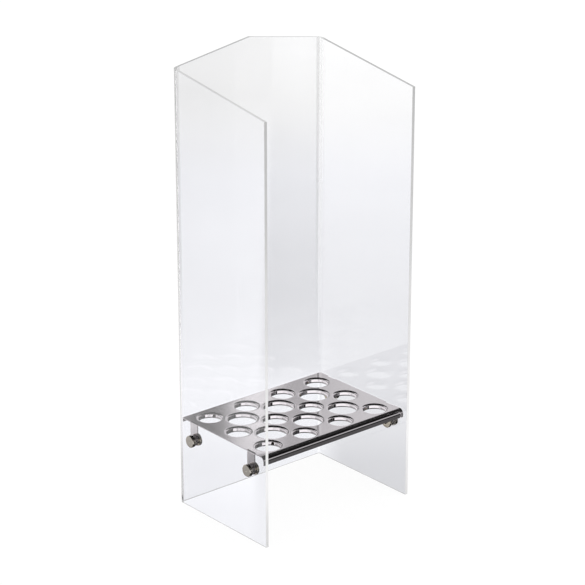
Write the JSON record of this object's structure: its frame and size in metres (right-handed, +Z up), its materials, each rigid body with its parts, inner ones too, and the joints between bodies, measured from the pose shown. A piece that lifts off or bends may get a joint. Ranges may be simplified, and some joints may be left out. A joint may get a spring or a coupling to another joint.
{
  "type": "multi glasses organizer",
  "caption": "Tall clear acrylic housing with an open front and a perforated steel tray inside, for standing stacks of glasses, cups or cones.",
  "frame": {"origin": "middle of the footprint, on the surface the housing stands on", "axes": "+Z up, -Y towards the open front, +X to the right seen from the front"},
  "size_m": [0.3138, 0.22, 0.75],
  "materials": {
    "clear_acrylic": "clear, polished faces and edges",
    "polished_steel": "bright polished sheet",
    "nickel_plate": "bright nickel plate, slightly warm",
    "zinc_steel": "plain zinc-plated thread",
    "clear_nylon": "translucent natural nylon"
  },
  "bodies": {
    "root": {"acrylic_shell": "clear_acrylic", "perforated_tray": "polished_steel", "cap_front_left": "nickel_plate", "outer_washer_front_left": "clear_nylon", "stud_front_left": "zinc_steel", "cap_back_left": "nickel_plate", "outer_washer_back_left": "clear_nylon", "stud_back_left": "zinc_steel", "cap_front_right": "nickel_plate", "outer_washer_front_right": "clear_nylon", "stud_front_right": "zinc_steel", "cap_back_right": "nickel_plate", "outer_washer_back_right": "clear_nylon", "stud_back_right": "zinc_steel"},
    "inner_washer_front_left_body": {"inner_washer_front_left": "clear_nylon"},
    "thumb_knob_front_left_body": {"thumb_knob_front_left": "nickel_plate"},
    "inner_washer_back_left_body": {"inner_washer_back_left": "clear_nylon"},
    "thumb_knob_back_left_body": {"thumb_knob_back_left": "nickel_plate"},
    "inner_washer_front_right_body": {"inner_washer_front_right": "clear_nylon"},
    "thumb_knob_front_right_body": {"thumb_knob_front_right": "nickel_plate"},
    "inner_washer_back_right_body": {"inner_washer_back_right": "clear_nylon"},
    "thumb_knob_back_right_body": {"thumb_knob_back_right": "nickel_plate"}
  },
  "joints": [
    {"name": "knob_travel_front_left", "type": "slide", "parent": "root", "child": "inner_washer_front_left_body", "axis": [1, 0, 0], "range_m": [0, 0.003]},
    {"name": "knob_turn_front_left", "type": "hinge", "parent": "inner_washer_front_left_body", "child": "thumb_knob_front_left_body", "pos_m": [-0.1389, -0.07025, 0.12], "axis": [1, 0, 0], "range_deg": [0, 1080]},
    {"name": "knob_travel_back_left", "type": "slide", "parent": "root", "child": "inner_washer_back_left_body", "axis": [1, 0, 0], "range_m": [0, 0.003]},
    {"name": "knob_turn_back_left", "type": "hinge", "parent": "inner_washer_back_left_body", "child": "thumb_knob_back_left_body", "pos_m": [-0.1389, 0.07275, 0.12], "axis": [1, 0, 0], "range_deg": [0, 1080]},
    {"name": "knob_travel_front_right", "type": "slide", "parent": "root", "child": "inner_washer_front_right_body", "axis": [-1, 0, 0], "range_m": [0, 0.003]},
    {"name": "knob_turn_front_right", "type": "hinge", "parent": "inner_washer_front_right_body", "child": "thumb_knob_front_right_body", "pos_m": [0.1389, -0.07025, 0.12], "axis": [-1, 0, 0], "range_deg": [0, 1080]},
    {"name": "knob_travel_back_right", "type": "slide", "parent": "root", "child": "inner_washer_back_right_body", "axis": [-1, 0, 0], "range_m": [0, 0.003]},
    {"name": "knob_turn_back_right", "type": "hinge", "parent": "inner_washer_back_right_body", "child": "thumb_knob_back_right_body", "pos_m": [0.1389, 0.07275, 0.12], "axis": [-1, 0, 0], "range_deg": [0, 1080]}
  ],
  "couplings": [
    {"joint": "knob_turn_front_left", "follows": "knob_travel_front_left", "rad_per_m": 6283.2},
    {"joint": "knob_turn_back_left", "follows": "knob_travel_back_left", "rad_per_m": 6283.2},
    {"joint": "knob_turn_front_right", "follows": "knob_travel_front_right", "rad_per_m": 6283.2},
    {"joint": "knob_turn_back_right", "follows": "knob_travel_back_right", "rad_per_m": 6283.2}
  ]
}
